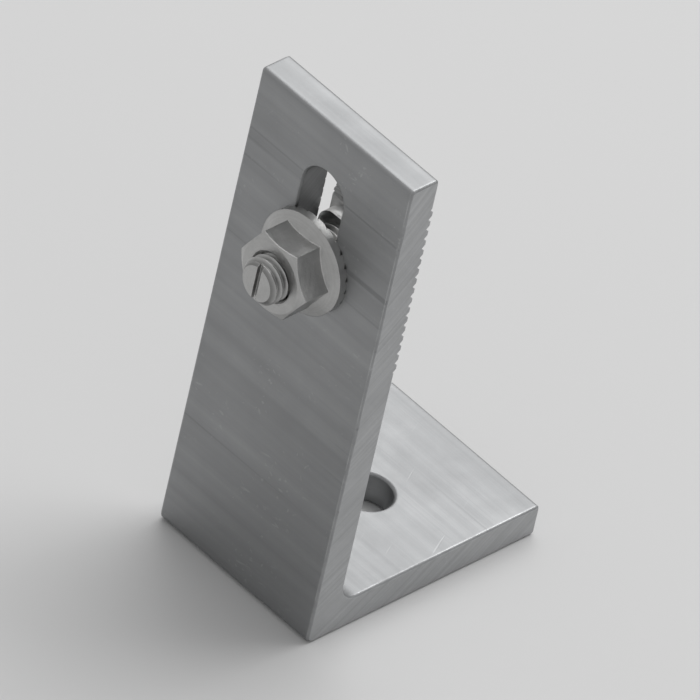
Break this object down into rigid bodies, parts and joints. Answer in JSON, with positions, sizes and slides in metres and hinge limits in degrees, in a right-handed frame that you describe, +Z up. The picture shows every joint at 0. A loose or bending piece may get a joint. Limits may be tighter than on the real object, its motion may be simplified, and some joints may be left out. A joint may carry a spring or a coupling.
{
  "type": "solar L-foot bracket",
  "caption": "Extruded aluminium L-foot that stands on a roof and carries a solar mounting rail, with its hammer-head bolt and flange nut.",
  "frame": {"origin": "axis of the roof hole at the base's underside", "axes": "+Z up from the roof along the roof hole, +Y from the upright towards the base's free end, +X along the rail and the extrusion's length"},
  "size_m": [0.035, 0.061, 0.095],
  "materials": {
    "foot_aluminium": "satin, as extruded and anodised, with sawn ends",
    "bolt_steel": "cold-formed stainless steel",
    "nut_steel": "cold-formed stainless steel"
  },
  "bodies": {
    "root": {"l_foot": "foot_aluminium", "rail_bolt": "bolt_steel", "flange_nut": "nut_steel"}
  },
  "joints": []
}
